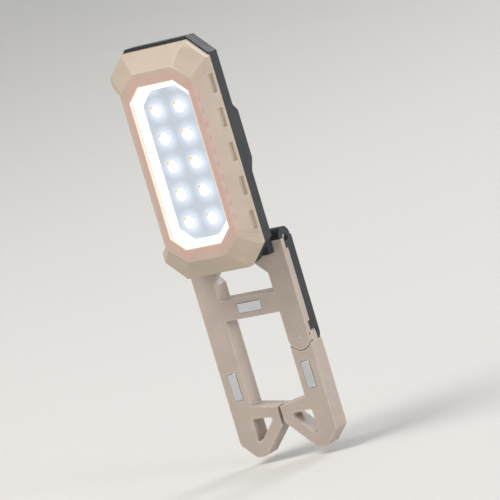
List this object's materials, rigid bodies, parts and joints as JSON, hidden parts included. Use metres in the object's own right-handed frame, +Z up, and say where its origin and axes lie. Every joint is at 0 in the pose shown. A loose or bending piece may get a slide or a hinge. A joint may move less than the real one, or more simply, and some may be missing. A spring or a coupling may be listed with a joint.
{
  "type": "folding pocket work light",
  "caption": "Pocket work light: a long lamp head with an LED window folds on a flat magnetic handle that ends in a sprung hook.",
  "frame": {"origin": "middle of the handle's crossbar, where a hand closes round the handle", "axes": "+Z up along the light from handle to lamp head, -Y the way the lamp shines, +X across, to the gate's side"},
  "size_m": [0.046, 0.0273, 0.172],
  "materials": {
    "shell_sand": "matt moulded plastic, slightly translucent",
    "handle_sand": "matt moulded plastic",
    "cover_charcoal": "fine textured matt plastic",
    "lens_clear": "clear polycarbonate",
    "reflector_white": "glossy white",
    "board_mask": "pale solder mask on aluminium",
    "led_body": "white moulded package",
    "led_phosphor": "phosphor in silicone",
    "seal_rubber": "soft silicone",
    "button_rubber": "matt rubber",
    "foam": "closed cell foam",
    "battery_foil": "pouch foil",
    "board_green": "green solder mask",
    "switch_body": "black moulding",
    "socket_steel": "plated steel",
    "screw_steel": "black oxide steel",
    "pin_steel": "ground steel",
    "magnet_nickel": "nickel plate"
  },
  "bodies": {
    "handle": {"handle_frame": "handle_sand", "hinge_yoke": "cover_charcoal", "handle_screws": "screw_steel", "crossbar_magnet": "magnet_nickel", "left_arm_magnet": "magnet_nickel", "hinge_pin": "pin_steel", "gate_pin": "pin_steel"},
    "head": {"front_shell": "shell_sand", "lens": "lens_clear", "lens_gasket": "seal_rubber", "reflector": "reflector_white", "led_board": "board_mask", "led_packages": "led_body", "led_phosphors": "led_phosphor", "back_cover": "cover_charcoal", "case_seal": "seal_rubber", "case_screws": "screw_steel", "battery_cell": "battery_foil", "battery_pad": "foam", "control_board": "board_green", "tact_switch": "switch_body", "light_pipe": "lens_clear", "usb_socket": "socket_steel", "usb_board": "board_green", "hinge_washers": "pin_steel"},
    "power_button": {"power_button": "button_rubber", "switch_plunger": "switch_body"},
    "port_cover": {"port_cover": "button_rubber"},
    "gate": {"gate": "handle_sand", "gate_magnet": "magnet_nickel", "gate_spring": "pin_steel"}
  },
  "joints": [
    {"name": "head_fold", "type": "hinge", "parent": "handle", "child": "head", "pos_m": [0, 0, 0.024], "axis": [-1, 0, 0], "range_deg": [0, 180]},
    {"name": "gate_swing", "type": "hinge", "parent": "handle", "child": "gate", "pos_m": [0.018, 0, -0.0159], "axis": [0, -1, 0], "range_deg": [0, 30], "stiffness_Nm_per_rad": 0.03, "springref_deg": -17.19},
    {"name": "button_press", "type": "slide", "parent": "head", "child": "power_button", "axis": [0, -1, 0], "range_m": [0, 0.0005], "stiffness_N_per_m": 800, "springref_m": -0.0005},
    {"name": "port_cover_flap", "type": "hinge", "parent": "head", "child": "port_cover", "pos_m": [0, -0.01405, 0.01915], "axis": [-1, 0, 0], "range_deg": [0, 90]}
  ]
}
